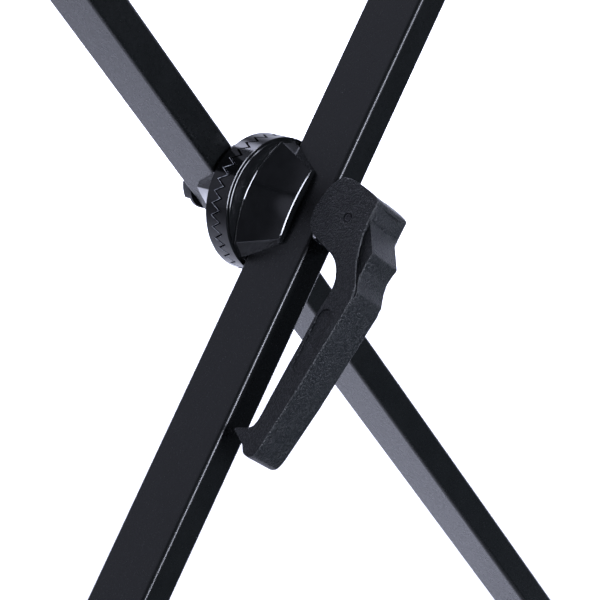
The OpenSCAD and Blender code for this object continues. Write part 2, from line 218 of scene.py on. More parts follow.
def beside(*meshes):
    # Separate solids in one mesh
    work = bmesh.new()
    for mesh in meshes:
        work.from_mesh(mesh)
    result = bpy.data.meshes.new("mesh")
    work.to_mesh(result)
    work.free()
    return result


def shiftBy(*place):
    return Matrix.Translation(Vector(place))


def makePiece(name, mesh, placement, body, material, replaced=(), sharp=32):
    mesh = moved(mesh, placement)
    for polygon in mesh.polygons:
        polygon.use_smooth = True
    mesh.set_sharp_from_angle(angle=radians(sharp))
    mesh = modified(mesh, "WEIGHTED_NORMAL", keep_sharp=True)
    mesh.name = name
    mesh.materials.clear()
    mesh.materials.append(material)
    piece = bpy.data.objects.new(name, mesh)
    bpy.context.scene.collection.objects.link(piece)
    if body:                # a piece without one stays unattached
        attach(piece, body)
    if replaced:
        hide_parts(*replaced)
    return piece


# Materials
def newMaterial(name, colour, roughness, ior, metallic=0.0):
    material = bpy.data.materials.new(name)
    material.use_nodes = True
    surface = material.node_tree.nodes["Principled BSDF"]
    surface.inputs["Base Color"].default_value = (*colour, 1)
    surface.inputs["Roughness"].default_value = roughness
    surface.inputs["IOR"].default_value = ior
    surface.inputs["Metallic"].default_value = metallic
    return material, surface


def noiseIn(material, scale, detail, stretch=(1, 1, 1)):
    nodes, links = material.node_tree.nodes, material.node_tree.links
    place = nodes.new("ShaderNodeTexCoord")
    mapping = nodes.new("ShaderNodeMapping")
    mapping.inputs["Scale"].default_value = stretch
    noise = nodes.new("ShaderNodeTexNoise")
    noise.inputs["Scale"].default_value = scale
    noise.inputs["Detail"].default_value = detail
    links.new(place.outputs["Object"], mapping.inputs["Vector"])
    links.new(mapping.outputs["Vector"], noise.inputs["Vector"])
    return noise.outputs["Fac"]


def ramped(material, source, low, high, target):
    # Most of a noise lies between 0.3 and 0.7
    ramp = material.node_tree.nodes.new("ShaderNodeMapRange")
    ramp.inputs["From Min"].default_value = 0.3
    ramp.inputs["From Max"].default_value = 0.7
    ramp.inputs["To Min"].default_value = low
    ramp.inputs["To Max"].default_value = high
    material.node_tree.links.new(source, ramp.inputs["Value"])
    material.node_tree.links.new(ramp.outputs["Result"], target)


def coloured(material, source, stops, target):
    ramp = material.node_tree.nodes.new("ShaderNodeValToRGB")
    elements = ramp.color_ramp.elements
    for i, (place, colour) in enumerate(stops):
        element = elements[i] if i < 2 else elements.new(place)
        element.position = place
        element.color = (*colour, 1)
    material.node_tree.links.new(source, ramp.inputs["Fac"])
    material.node_tree.links.new(ramp.outputs["Color"], target)


def bumped(material, surface, layers):
    # layers are (height source, strength, distance in metres), coarse to fine
    normal = None
    for source, strength, distance in layers:
        bump = material.node_tree.nodes.new("ShaderNodeBump")
        bump.inputs["Strength"].default_value = strength
        bump.inputs["Distance"].default_value = distance
        material.node_tree.links.new(source, bump.inputs["Height"])
        if normal:
            material.node_tree.links.new(normal, bump.inputs["Normal"])
        normal = bump.outputs["Normal"]
    material.node_tree.links.new(normal, surface.inputs["Normal"])


def finishFrom(name, look):
    # noises are (features per metre, detail, stretch), and the rest names the one it is led by
    material, surface = newMaterial(name, look["colour"], look["roughness"], look["ior"],
                                    look.get("metallic", 0.0))
    noises = {part: noiseIn(material, *values) for part, values in look["noises"].items()}
    part, stops = look["tones"]
    coloured(material, noises[part], stops, surface.inputs["Base Color"])
    part, low, high = look["gloss"]
    ramped(material, noises[part], low, high, surface.inputs["Roughness"])
    if look["bumps"]:
        bumped(material, surface, [(noises[part], *depth) for part, *depth in look["bumps"]])
    return material


def powderCoat():
    return finishFrom("powderCoat", {
        "colour": (0.0031, 0.0036, 0.0037), "roughness": 0.28, "ior": 1.4,
        "noises": {"cloud": (60, 3), "peel": (420, 1)},
        "tones": ("cloud", [(0.35, (0.0026, 0.0031, 0.0032)), (0.65, (0.0036, 0.0042, 0.0043))]),
        "gloss": ("peel", 0.26, 0.31),
        "bumps": [("peel", 0.03, 0.0002)],
    })


def clutchBlack():
    return finishFrom("clutchBlack", {
        "colour": (0.0039, 0.0043, 0.0045), "roughness": 0.13, "ior": 1.37,
        "noises": {"cast": (160, 2), "fine": (1200, 1)},
        "tones": ("cast", [(0.3, (0.003, 0.0033, 0.0035)), (0.7, (0.0048, 0.0052, 0.0055))]),
        "gloss": ("fine", 0.11, 0.15),
        "bumps": [("cast", 0.03, 0.0004), ("fine", 0.03, 0.0001)],
    })


def paintedEdgeHighlight():
    # Pale paint on the tooth edges, a painted highlight along them
    return finishFrom("paintedEdgeHighlight", {
        "colour": (0.20, 0.21, 0.23), "roughness": 0.4, "ior": 1.45,
        "noises": {"wear": (500, 3)},
        "tones": ("wear", [(0.35, (0.10, 0.105, 0.12)), (0.6, (0.50, 0.52, 0.56))]),
        "gloss": ("wear", 0.3, 0.45),
        "bumps": [],
    })


def leverMoulding():
    # A spark-eroded mould leaves a rough skin; its pale and dark specks are painted sparkle and painted shade of
    # that skin
    return finishFrom("leverMoulding", {
        "colour": (0.010, 0.011, 0.012), "roughness": 0.34, "ior": 1.4,
        "noises": {"spark": (960, 3), "grit": (2400, 2), "cloud": (90, 3)},
        # the pale and dark specks here are painted sparkle and painted shade
        "tones": ("spark", [(0.42, (0.0020, 0.0027, 0.0033)), (0.5, (0.0060, 0.0072, 0.0092)),
                            (0.58, (0.0185, 0.0200, 0.0205))]),
        "gloss": ("cloud", 0.31, 0.37),
        "bumps": [("spark", 1.0, 0.0008), ("grit", 0.6, 0.0002)],
    })


def blackRubber():
    return finishFrom("blackRubber", {
        "colour": (0.02, 0.02, 0.021), "roughness": 0.7, "ior": 1.45,
        "noises": {"bloom": (120, 4), "grain": (2200, 2)},
        "tones": ("bloom", [(0.3, (0.014, 0.014, 0.015)), (0.7, (0.028, 0.028, 0.030))]),
        "gloss": ("bloom", 0.62, 0.8),
        "bumps": [("grain", 0.25, 0.0002)],
    })


def zincPlate():
    return finishFrom("zincPlate", {
        "colour": (0.62, 0.61, 0.58), "roughness": 0.32, "ior": 1.45, "metallic": 1.0,
        "noises": {"cloud": (350, 4), "scratches": (1800, 3, (1, 1, 0.1))},
        "tones": ("cloud", [(0.3, (0.50, 0.50, 0.50)), (0.7, (0.70, 0.69, 0.65))]),
        "gloss": ("scratches", 0.24, 0.42),
        "bumps": [("scratches", 0.08, 0.0001)],
    })


def blackSteel():
    return finishFrom("blackSteel", {
        "colour": (0.03, 0.03, 0.033), "roughness": 0.34, "ior": 1.5, "metallic": 0.4,
        "noises": {"cloud": (300, 4), "fine": (2600, 2)},
        "tones": ("cloud", [(0.3, (0.020, 0.020, 0.023)), (0.7, (0.045, 0.045, 0.050))]),
        "gloss": ("fine", 0.26, 0.42),
        "bumps": [("fine", 0.1, 0.0001)],
    })


def bareSteel():
    return finishFrom("bareSteel", {
        "colour": (0.42, 0.42, 0.43), "roughness": 0.3, "ior": 1.5, "metallic": 1.0,
        "noises": {"drawn": (1500, 3, (1, 1, 0.06)), "cloud": (200, 4)},
        "tones": ("cloud", [(0.3, (0.34, 0.34, 0.35)), (0.7, (0.50, 0.50, 0.51))]),
        "gloss": ("drawn", 0.22, 0.4),
        "bumps": [("drawn", 0.1, 0.0001)],
    })


def directionFade(tree, source, direction, none, full):
    # From 0 to 1 as the dot product with the direction goes from none to full
    dot = tree.nodes.new("ShaderNodeVectorMath")
    dot.operation = "DOT_PRODUCT"
    dot.inputs[1].default_value = Vector(direction).normalized()
    fade = tree.nodes.new("ShaderNodeMapRange")
    fade.interpolation_type = "SMOOTHSTEP"
    fade.inputs["From Min"].default_value = none
    fade.inputs["From Max"].default_value = full
    tree.links.new(source, dot.inputs[0])
    tree.links.new(dot.outputs["Value"], fade.inputs["Value"])
    return fade.outputs["Result"]


# The floor's painted shade: grey in front of the stand, white behind it
floorFade = {"direction": (-0.1, 0.99, 0), "from": -0.22, "to": 0.09,
             "near": (0.13, 0.15, 0.148), "far": (0.88, 0.88, 0.885)}


def paleFloor():
    # White sweep behind the stand; towards the front it is painted grey, a painted shade where the studio light
    # does not reach
    material, surface = newMaterial("paleFloor", (0.84, 0.84, 0.84), 0.7, 1.3)
    tree = material.node_tree
    place = tree.nodes.new("ShaderNodeTexCoord").outputs["Object"]
    fade = directionFade(tree, place, floorFade["direction"], floorFade["from"], floorFade["to"])
    coloured(material, fade, [(0, floorFade["near"]), (1, floorFade["far"])],
             surface.inputs["Base Color"])
    ramped(material, noiseIn(material, 3, 4), 0.66, 0.74, surface.inputs["Roughness"])
    return material


finishes = {
    "powder_coat": powderCoat(),
    "clutch_black": clutchBlack(),
    "lever_moulding": leverMoulding(),
    "black_rubber": blackRubber(),
    "zinc_plate": zincPlate(),
    "black_steel": blackSteel(),
    "bare_steel": bareSteel(),
}
slotOfNode = {part["node"]: part["material_slot"] for part in frame["record"]["subparts"]}
for nodeName, node in frame["nodes"].items():
    node.data.materials.clear()
    node.data.materials.append(finishes[slotOfNode[nodeName]])
print("materials made")


def inPlaceOf(node, mesh, placement, body, sharp=32):
    # A piece that replaces the CAD node and takes its slot and finish
    slot = slotOfNode[node]
    return makePiece(node + "_look", mesh, placement, body, finishes[slot], [node], sharp)


def onLeg(side, name, mesh, sharp=32):
    return inPlaceOf(side + "_" + name, mesh, legs[side], side + "_leg", sharp)


# Leg tubes
tube = {
    "width": 20,
    "depth": 40,
    "corner": 3,
    "wall": 1.5,
    "near": 12,            # from the middle plane to the near face
    "seat": 19.1,          # from a bar's axis to the end of the tube
    "boltHole": 5.25,
    "beadRadius": 2.3,
    "beadRipple": 0.35,
    "beadPitch": 2.6,
    "beadOffset": 0.4,     # from the tube's faces out to the bead's axis
    "beadSink": 0.3,       # from the tube's end back to the bead's axis
    "beadSpacing": 0.65,
    "beadSides": 10,
}
tubeMiddle = -tube["near"] - tube["depth"] / 2
tubeFace = -tube["near"] - tube["depth"]
tubeLow = -footReach + tube["seat"]
tubeHigh = armReach - tube["seat"]


def legTube():
    outer = roundedRectangle(tube["width"], tube["depth"], tube["corner"])
    inner = roundedRectangle(tube["width"] - 2 * tube["wall"], tube["depth"] - 2 * tube["wall"],
                             tube["corner"] - tube["wall"])
    middle = shiftBy(0, tubeMiddle, 0)
    shell = moved(prism(outer, tubeLow, tubeHigh, upright), middle)
    bore = moved(prism(inner, tubeLow - past, tubeHigh + past, upright), middle)
    hole = revolve([(0, tubeFace - past), (tube["boltHole"], tubeFace - past),
                    (tube["boltHole"], 0), (0, 0)], 48)
    return cut(shell, bore, hole)


def weldBead():
    # A rippled fillet round the tube's upper end, drawn with that end at the origin
    offset = tube["beadOffset"]
    path = roundedRectangle(tube["width"] + 2 * offset, tube["depth"] + 2 * offset,
                            tube["corner"] + offset, 6)
    dense = []
    for i, (x, y) in enumerate(path):
        nextX, nextY = path[(i + 1) % len(path)]
        parts = max(1, round(hypot(nextX - x, nextY - y) / tube["beadSpacing"]))
        for k in range(parts):
            dense.append((x + (nextX - x) * k / parts, y + (nextY - y) * k / parts))
    rings = []
    run = 0.0
    for i, (x, y) in enumerate(dense):
        lastX, lastY = dense[i - 1]
        nextX, nextY = dense[(i + 1) % len(dense)]
        out = Vector((nextY - lastY, lastX - nextX, 0)).normalized()
        run += hypot(nextX - x, nextY - y)
        radius = tube["beadRadius"] + tube["beadRipple"] * abs(sin(pi * run / tube["beadPitch"]))
        centre = Vector((x, y + tubeMiddle, -tube["beadSink"]))
        rings.append(hoop(centre, radius, out, Vector((0, 0, 1)), tube["beadSides"]))
    return loft(rings, looped=True)


for side in legs:
    onLeg(side, "leg_tube", legTube())
    beads = beside(moved(weldBead(), shiftBy(0, 0, tubeHigh)),
                   moved(weldBead(), shiftBy(0, 0, tubeLow) @ upsideDown))
    makePiece(side + "_weld_beads", beads, legs[side], side + "_leg",
              finishes["powder_coat"])
print("leg tubes made")


# Clutch halves
clutch = {
    "radius": 39.8,
    "face": 9.3,
    "teeth": 36,
    "toothHeight": 6.2,
    "toothLength": 10,
    "toothGap": 1.7,
    "toothBevel": (0.4, 0.3),      # this and the other bevels: across and along the axis
    "halfToothSteps": 6,
    "phase": {"front": 8, "rear": 13},     # degrees, as the teeth stand in the photograph
    "grooveDepth": 0.4,    # inside the crown, below the roots of the teeth
    "grooveSlope": 0.3,
    "terraceWidth": 1.6,   # two steps run round the outer face
    "terraceRise": 0.8,
    "rimBevel": (0.36, 0.2),
    "boltBore": 5.1,
    "recess": 12.1,
    "recessFloor": 9.0,
    "hubRadius": 20,
    "highlightBand": (0.38, 0.05),       # the painted highlight lies this far inside the rim
    "highlightReach": 0.5,
    "highlightShare": 0.62,      # of the radius, to the left and right, where the highlight is painted
}

# The saddle on each half: two wings and the plate between them
saddle = {
    "back": 11.9,
    "sunk": 1.5,           # the saddle starts this deep in the disc
    "step": 10.0,          # the wing's foot stands this far from the middle plane
    "bowRadius": 64.8,
    "bowHalfWidth": 28.7,
    "endRadius": 38,
    "top": 33.7,
    "edge": 3.2,           # from the tube's side out to the wing's top edge
    "halfLength": 21,
    "inner": 10.1,
    "sag": 0.9,            # of the broad facet, and the way it dips
    "sagToward": (0.84, 0.54),
    "crestBow": 2.0,
    "slant": 1.4,          # the end facets reach this much further beside the tube
    "flange": 0.9,         # a narrow flat runs round the wing's foot
    "flangeTail": 0.2,     # what is left of it beside the tube
    "footBevel": (0.45, 0.23),
    "crestBevel": (0.48, 0.32),
    "endSoft": 0.35,
    "endMargins": {"inner": 0.3, "top": 1.2, "foot": 0.4},
    "steps": {"bow": 24, "end": 6, "inner": 8, "rise": 10},
    "plateOverlap": 0.4,
    "plateRelief": 3,
}


def bevelledStep(radius, y):
    # From a cylinder of this radius over a bevel onto the flat at y
    inward, along = clutch["rimBevel"]
    return [(radius, y + along), (radius - inward, y)]


def toothDisc(phase):
    # One crown of radial teeth; their height grows with the radius, so that two halves mesh
    c = clutch
    half = c["toothHeight"] / 2
    outer, inner = c["radius"], c["radius"] - c["toothLength"]
    groove = -half - c["grooveDepth"]
    terrace = -c["face"] + c["terraceRise"]
    inward, along = c["toothBevel"]
    rings = []
    perTooth = 2 * c["halfToothSteps"]
    for i in range(c["teeth"] * perTooth):
        share = i % perTooth / perTooth
        wave = 1 - 4 * abs(share - 0.5)          # a crest in the middle of each pitch
        angle = radians(phase) + 2 * pi * (i - perTooth / 2) / (c["teeth"] * perTooth)
        crestOuter = half * wave - c["toothGap"] / 2
        crestInner = half * wave * inner / outer - c["toothGap"] / 2
        profile = [(c["boltBore"], -saddle["back"]), (c["boltBore"], -c["recessFloor"]),
                   (c["recess"], -c["recessFloor"]), (c["recess"], groove),
                   (inner - c["grooveSlope"], groove), (inner, crestInner),
                   (outer - inward, crestOuter), (outer, crestOuter - along)]
        profile += bevelledStep(outer, terrace)
        profile += [(outer - c["terraceWidth"], terrace)]
        profile += bevelledStep(outer - c["terraceWidth"], -c["face"])
        profile += [(c["hubRadius"], -c["face"]), (c["hubRadius"], -saddle["back"])]
        rings.append([around(r, y, angle) for r, y in profile])
    return loft(rings, looped=True)


def wingOutlines():
    # The left wing's foot, the flange round it and its top edge, as (x, z) point for point
    s = saddle
    bowCentre = s["bowRadius"] - s["bowHalfWidth"]
    # where the bow meets the round end of the saddle
    cornerX = (s["endRadius"] ** 2 - s["bowRadius"] ** 2 + bowCentre ** 2) / (2 * bowCentre)
    cornerZ = sqrt(s["endRadius"] ** 2 - cornerX ** 2)
    tipZ = sqrt(s["endRadius"] ** 2 - s["inner"] ** 2)
    crestX = -s["inner"] - s["edge"]
    topZ, slantZ = s["halfLength"], s["halfLength"] + s["slant"]
    bowSteps, endSteps, innerSteps = [s["steps"][part] for part in ("bow", "end", "inner")]
    foot, flange, top = [], [], []

    def addEnd(side, shares):
        # a flat facet from the corner of the foot to the side of the tube
        for share in shares:
            x = cornerX + (-s["inner"] - cornerX) * share
            z = cornerZ + (tipZ - cornerZ) * share
            step = s["flange"] * (1 - (1 - s["flangeTail"]) * share)
            foot.append((x, side * z))
            flange.append((min(x + step, -s["inner"]), side * (z - step)))
            top.append((crestX + s["edge"] * share, side * (topZ + s["slant"] * share)))

    for k in range(bowSteps):
        across = 1 - 2 * k / bowSteps
        z = cornerZ * across
        x = bowCentre - sqrt(s["bowRadius"] ** 2 - z * z)
        foot.append((x, z))
        flange.append((x + s["flange"], z * (1 - s["flange"] / hypot(x, z))))
        top.append((crestX - s["crestBow"] * (1 - across ** 2), topZ * across))
    addEnd(-1, [k / endSteps for k in range(endSteps)])
    for k in range(innerSteps):
        share = 2 * k / innerSteps - 1
        foot.append((-s["inner"], tipZ * share))
        flange.append((-s["inner"], (tipZ - s["flangeTail"] * s["flange"]) * share))
        top.append((-s["inner"], slantZ * share))
    addEnd(1, [1 - k / endSteps for k in range(endSteps)])
    return foot, flange, top


def saddleWing():
    # The left wing: its foot bows on the disc, its top edge lies along the tube
    s = saddle
    foot, flange, top = wingOutlines()
    inward, along = s["footBevel"]
    share = inward / s["flange"]
    rings = [[Vector((x, s["sunk"] - clutch["face"], z)) for x, z in foot],
             [Vector((x, along - s["step"], z)) for x, z in foot],
             [Vector((x + (nextX - x) * share, -s["step"], z + (nextZ - z) * share))
              for (x, z), (nextX, nextZ) in zip(foot, flange)]]
    inward, along = s["crestBevel"]
    fullRise = 1 - along / (s["top"] - s["step"])
    riseSteps, bowSteps = s["steps"]["rise"], s["steps"]["bow"]
    sagX, sagY = s["sagToward"]
    for i in range(riseSteps + 1):
        share = fullRise * i / riseSteps
        y = -s["step"] + (s["step"] - s["top"]) * share
        ring = []
        for k, ((x, z), (topX, topZ)) in enumerate(zip(flange, top)):
            # the broad facet dips a little between its foot and its top edge
            across = abs(1 - 2 * k / bowSteps) if k < bowSteps else 1
            sag = 4 * s["sag"] * share * (1 - share) * (1 - across ** 4)
            ring.append(Vector((x + (topX - x) * share + sagX * sag, y + sagY * sag,
                                z + (topZ - z) * share)))
        rings.append(ring)
    shrink = 1 - inward / (s["halfLength"] + s["slant"])
    rings.append([Vector((min(x + inward, -s["inner"]), -s["top"], z * shrink)) for x, z in top])

    def endCorner(place):
        # on an edge between the broad facet and an end facet
        margin = s["endMargins"]
        return (place.x < -s["inner"] - margin["inner"]
                and -s["top"] + margin["top"] < place.y < -s["step"] - margin["foot"])

    return bevelled(loft(rings), s["endSoft"], 4, endCorner)


def saddlePlate():
    # What closes the saddle behind the tube, between the wings
    s = saddle
    outline = []
    for side in (1, -1):
        for k in range(9):
            x = side * (s["inner"] + s["plateOverlap"]) * (1 - k / 4)
            outline.append((x, side * sqrt(s["endRadius"] ** 2 - x * x)))
    plate = prism(outline, -s["back"], s["sunk"] - clutch["face"], lengthwise)
    relief = clutch["boltBore"] + s["plateRelief"]
    return cut(plate, revolve([(0, -20), (relief, -20), (relief, 0), (0, 0)], 48))


def clutchHalf(side):
    # the phase is counted from upright, and the half is drawn in its leaning leg's frame
    phase = clutch["phase"][side] + (1 if side == "front" else -1) * lean * 180 / pi
    wing = saddleWing()
    otherWing = moved(wing, Matrix.Scale(-1, 4, (1, 0, 0)))
    return added(toothDisc(phase), saddlePlate(), wing, otherWing)


def paintToothHighlights(half, side, finish):
    # The tooth edges to the left and right take the pale finish, a painted highlight
    half.data.materials.append(finish)
    inLeg = legs[side].inverted() @ half.matrix_world
    inner, outer = [clutch["radius"] - depth for depth in clutch["highlightBand"]]
    reach = clutch["toothHeight"] / 2 + clutch["highlightReach"]
    for face in half.data.polygons:
        centre = inLeg @ face.center
        radius = hypot(centre.x, centre.z)
        sideways = abs((half.matrix_world @ face.center - pivot).x)
        bearing = sideways > clutch["highlightShare"] * radius * mm
        if bearing and inner < radius < outer and abs(centre.y) < reach:
            face.material_index = 1


# The pale finish painted on the tooth edges is a painted highlight
highlightFinish = paintedEdgeHighlight()
for side in legs:
    paintToothHighlights(onLeg(side, "clutch_half", clutchHalf(side), 26), side, highlightFinish)
print("clutch made")


# Lever, drawn from the side: t up the tube from the pin, o outward from the tube
lever = {
    "back": [(-139.4, 2.5), (-138.4, -0.9), (-133.9, -4.0), (-131, -8.8), (-128.4, -13.6),
             (-127.6, -14.4), (-126.8, -13.0), (-124.5, -4.2), (-122.9, -2.0), (-118.6, -0.4),
             (-105.5, 0.9), (-94.5, 2.1), (-84, 3.2), (-71, 4.9), (-63.5, 5.7), (-56, 6.2),
             (-52, 7.1), (-48, 8.1), (-44, 9.1), (-40.5, 9.7), (-36.8, 9.7), (-33.6, 9.1),
             (-29.3, 7.3), (-25.2, 4.4), (-22.5, 1.0), (-20.8, -2.2), (-18.3, -8.0),
             (-16.1, -13.1), (-13.8, -18.8), (-11, -22.0), (-6, -24.7), (-0.5, -25.6),
             (5.3, -24.7), (12, -22.9), (15.9, -21.0), (20.6, -17.4), (22.0, -14.8)],
    "front": [(-139.4, 3.6), (-138.3, 6.2), (-135.5, 8.0), (-132, 9.1), (-100, 15.8), (-54, 23.7),
              (-42, 25.7), (-37.6, 26.6), (-34.0, 25.0), (-29.8, 23.7), (-24.4, 23.3),
              (-19.2, 24.1), (-14.9, 25.3), (1.3, 14.5), (2.6, 15.1), (12.9, 15.3), (14.2, 14.4),
              (16.9, 8.3), (18.2, 4.5), (19.8, -0.4), (22.0, -9.6)],
    "edge": [(-139.4, 3.6), (-138.3, 6.2), (-135.5, 8.0), (-132, 9.1), (-100, 15.8), (-54, 23.6),
             (-41.9, 25.4), (-34.4, 24.3), (-28.9, 21.6), (-21.5, 18.7), (-14.4, 16.8),
             (-7.2, 15.3), (-0.5, 14.8), (5.7, 14.9), (12.9, 15.3), (14.2, 14.4), (16.9, 8.3),
             (18.2, 4.5), (19.8, -0.4), (22.0, -9.6)],
    "halfWidth": [(-139, 11.3), (-132, 11.5), (-100, 12.0), (-54, 12.5), (-40, 13.1),
                  (-20, 14.5), (22, 14.5)],
    "ridgeHalf": [(-139, 9.0), (-54, 10.5), (-40, 12.4), (-36, 12.6), (-24, 11.6), (-15, 12.0),
                  (1.2, 12.0), (3, 13.4), (22, 13.4)],
    "shelfDepth": [(-139, 0), (-36, 0), (-31, 1.2), (-20, 2.2), (-8, 1.6), (1.5, 0.4), (3, 0), (22, 0)],
    "low": -139.4,
    "high": 22.0,
    "edgeRadius": 1.1,
    "edgeBevel": (0.8, 0.46),      # across and outward
    "backRadius": 0.6,
    "thinnest": 2.2,       # an edge's radius is at most the body's depth over this
    "ridgeMargin": 0.4,
    "ridgeStep": 0.7,
    "creaseWindow": 0.7,   # creases are rounded over this much either way
    "endSteps": [(0.5, 0.08), (2, 0.22), (5, 0.5)],    # nearer an end than this, sections this close
    "headFrom": -46,
    "headStep": 0.5,
    "gripStep": 1.0,
    "pinHole": 2.55,
    "pinRelief": 2.85,     # a shallow counterbore round each end of the pin
    "reliefDepth": 0.7,
    "cheekInner": 10.5,
    "cavityFront": 9.6,
    "cavityFloor": -12,
    "tubeReach": -18.3,
    "camCentre": (-4.24, -3.25),
    "camRadius": 16.9,
    "camInner": 5.8,
    "camRoot": 0.3,        # each lobe runs this far into its cheek
    "panel": {"top": -50.7, "bottom": -89.1, "halfWidth": 5.1, "depth": 0.6, "inset": 7.3,
              "slope": 0.064},
    "lip": {"t": 10.5, "face": 15, "left": -8.3, "right": 6.8, "height": 0.7, "depth": 0.5},
}


def lineAt(line, t):
    if t <= line[0][0]:
        return line[0][1]
    for (t0, v0), (t1, v1) in zip(line, line[1:]):
        if t <= t1:
            return v0 + (v1 - v0) * (t - t0) / (t1 - t0)
    return line[-1][1]


def eased(line, t, window):
    # The line with its corners rounded over the window
    return sum(lineAt(line, t + window * (k / 3 - 1)) for k in range(7)) / 7


def cornerArc(s, o, radius, start, turn, steps=4):
    points = []
    for k in range(steps + 1):
        angle = start + turn * k / steps
        points.append((s + radius * cos(angle), o + radius * sin(angle)))
    return points


def leverRing(t):
    # The section at t: from the back edge round one side and over the ridge to the other
    full = lever["edgeRadius"]
    endRoom = min(t - lever["low"], lever["high"] - t)
    window = min(lever["creaseWindow"], max(endRoom, 0.0))
    back, front, edge, half, ridgeHalf, shelfDepth = [
        eased(lever[line], t, window)
        for line in ("back", "front", "edge", "halfWidth", "ridgeHalf", "shelfDepth")]
    shelf = edge - shelfDepth
    r = min(full, (edge - back) / lever["thinnest"], (front - back) / lever["thinnest"])
    if endRoom < full:
        half -= full * (1 - sqrt(max(0.0, 1 - (1 - endRoom / full) ** 2)))
    ridgeHalf = min(ridgeHalf, half - r - lever["ridgeMargin"])
    step = min(lever["ridgeStep"], max(0.05, front - shelf))
    small = min(r, lever["backRadius"])
    right = cornerArc(half - small, back + small, small, -pi / 2, pi / 2)
    # a flat bevel takes the light along the front edge, and another along the ridge
    inward, along = [size * r / full for size in lever["edgeBevel"]]
    right += [(half, edge - along - 0.15), (half - 0.05, edge - along),
              (half - 0.35 * inward, edge - 0.6 * along), (half - inward, edge)]
    right += [(half - r - 0.2, (edge + shelf) / 2), (ridgeHalf + 0.1, shelf),
              (ridgeHalf, shelf + 0.15 * step), (ridgeHalf, front - 0.62 * step),
              (ridgeHalf - 0.6 * step, front - 0.31 * step), (ridgeHalf - 1.2 * step, front)]
    across = [(ridgeHalf * k / 4, front) for k in (3, 2, 1)]
    left = [(-s, o) for s, o in reversed(right)]
    middle = across + [(0, front)] + [(-s, o) for s, o in reversed(across)]
    return [fromSide(t, o, s) for s, o in right + middle + left]


def leverStations():
    # Where the sections stand, close together at the ends and along the head
    stations = []
    t = lever["low"]
    while t < lever["high"] - 0.02:
        stations.append(t)
        room = min(t - lever["low"], lever["high"] - t)
        near = [step for distance, step in lever["endSteps"] if room < distance]
        t += near[0] if near else lever["headStep"] if t > lever["headFrom"] else lever["gripStep"]
    return stations + [lever["high"]]


def stadium(centre, halfLength, halfWidth, slope, steps=10):
    # A slot outline with round ends, its long axis leaning by slope
    outline = []
    for end in (1, -1):
        for k in range(steps + 1):
            angle = (0 if end == 1 else pi) - pi / 2 + pi * k / steps
            along = end * (halfLength - halfWidth) + halfWidth * cos(angle)
            across = halfWidth * sin(angle)
            outline.append((centre[0] + along, centre[1] + across + slope * along))
    return outline


def leverHollow():
    # Room for the tube and the bolt's eye, with a cam lobe left standing on each cheek
    floor, frontWall = lever["cavityFloor"], lever["cavityFront"]
    far = 60
    hollow = prism([(-far, -far), (far, -far), (far, frontWall), (floor + 1, frontWall),
                    (floor, frontWall - 1), (floor, lever["tubeReach"]),
                    (-far, lever["tubeReach"])],
                   -lever["cheekInner"], lever["cheekInner"], fromSide)
    for side in (-1, 1):
        lobe = prism(circleOutline(lever["camRadius"], 96, *lever["camCentre"]),
                     side * lever["camInner"], side * (lever["cheekInner"] + lever["camRoot"]),
                     fromSide)
        hollow = cut(hollow, lobe)
    return hollow


def leverBody():
    wide = 40              # beyond either cheek
    pinHole = prism(circleOutline(lever["pinHole"], 40), -wide, wide, fromSide)
    body = cut(loft([leverRing(t) for t in leverStations()]), leverHollow(), pinHole)
    for side in (-1, 1):
        cheek = side * lineAt(lever["halfWidth"], 0)
        body = cut(body, prism(circleOutline(lever["pinRelief"], 40),
                               cheek - side * lever["reliefDepth"], side * wide, fromSide))
    panel = lever["panel"]
    middleT = (panel["top"] + panel["bottom"]) / 2
    outline = stadium((middleT, lineAt(lever["back"], middleT) + panel["inset"]),
                      (panel["top"] - panel["bottom"]) / 2, panel["halfWidth"], panel["slope"])
    panelFloor = lineAt(lever["halfWidth"], middleT) - panel["depth"]
    for side in (-1, 1):
        body = cut(body, prism(outline, side * panelFloor, side * wide, fromSide))
    lip = lever["lip"]
    low, high, floor = lip["t"] - lip["height"], lip["t"] + lip["height"], lip["face"] - lip["depth"]
    slot = prism([(low, floor), (high, floor), (high, 20), (low, 20)], lip["left"], lip["right"],
                 fromSide)
    return cut(body, slot)


inPlaceOf("clamp_lever", leverBody(), legs["front"], "lever", 28)


pin = {"radius": 2.5, "bore": 1.5, "half": 14.3, "cup": 0.5, "outerBreak": (0.35, 0.4),
       "innerBreak": 0.15, "slit": (-0.35, 0.3), "slitTurn": -40}


def springPin():
    # Rolled from strip: a slit runs along it and its ends are broken
    outer, inner, half = pin["radius"], pin["bore"], pin["half"]
    small = pin["innerBreak"]
    inward, along = pin["outerBreak"]
    profile = [(0, -half + pin["cup"]), (inner, -half + pin["cup"]), (inner, -half + small),
               (inner + small, -half), (outer - inward, -half), (outer, -half + along)]
    profile += [(r, -y) for r, y in reversed(profile)]
    body = moved(revolve(profile, 48), Matrix.Rotation(pi / 2, 4, "Z"))
    low, high = pin["slit"]
    slit = prism([(high, 1), (low, 1), (low, 4), (high, 4)], -20, 20,
                 lambda u, v, w: Vector((w, -v, u)))
    body = cut(body, moved(slit, Matrix.Rotation(radians(pin["slitTurn"]), 4, "X")))
    return moved(body, shiftBy(0, -pinY, 0))


inPlaceOf("lever_pin", springPin(), legs["front"], "lever")
print("lever made")


# Draw bolt, its nut and washer
bolt = {
    "radius": 5,
    "eye": 9,
    "eyeHalf": 5.5,
    "eyeBevel": 0.6,
    "hole": 2.55,
    "tail": 66.5,
    "threadFrom": 40,
    "pitch": 1.5,
    "threadDepth": 0.75,
    "nutAcross": 17,
    "nutFrom": 54,
    "nutHeight": 10,
    "nutTurn": -16,
    "nutCollar": 0.08,
    "clearance": 0.05,
}
nutShape = {               # shares of the width across flats, but for coneSlope
    "chamfer": 0.07,
    "coneRadius": 0.495,
    "coneSlope": 1.75,
    "collarRadius": 0.42,
    "collarTop": 0.39,
    "collarRound": 0.08,
}


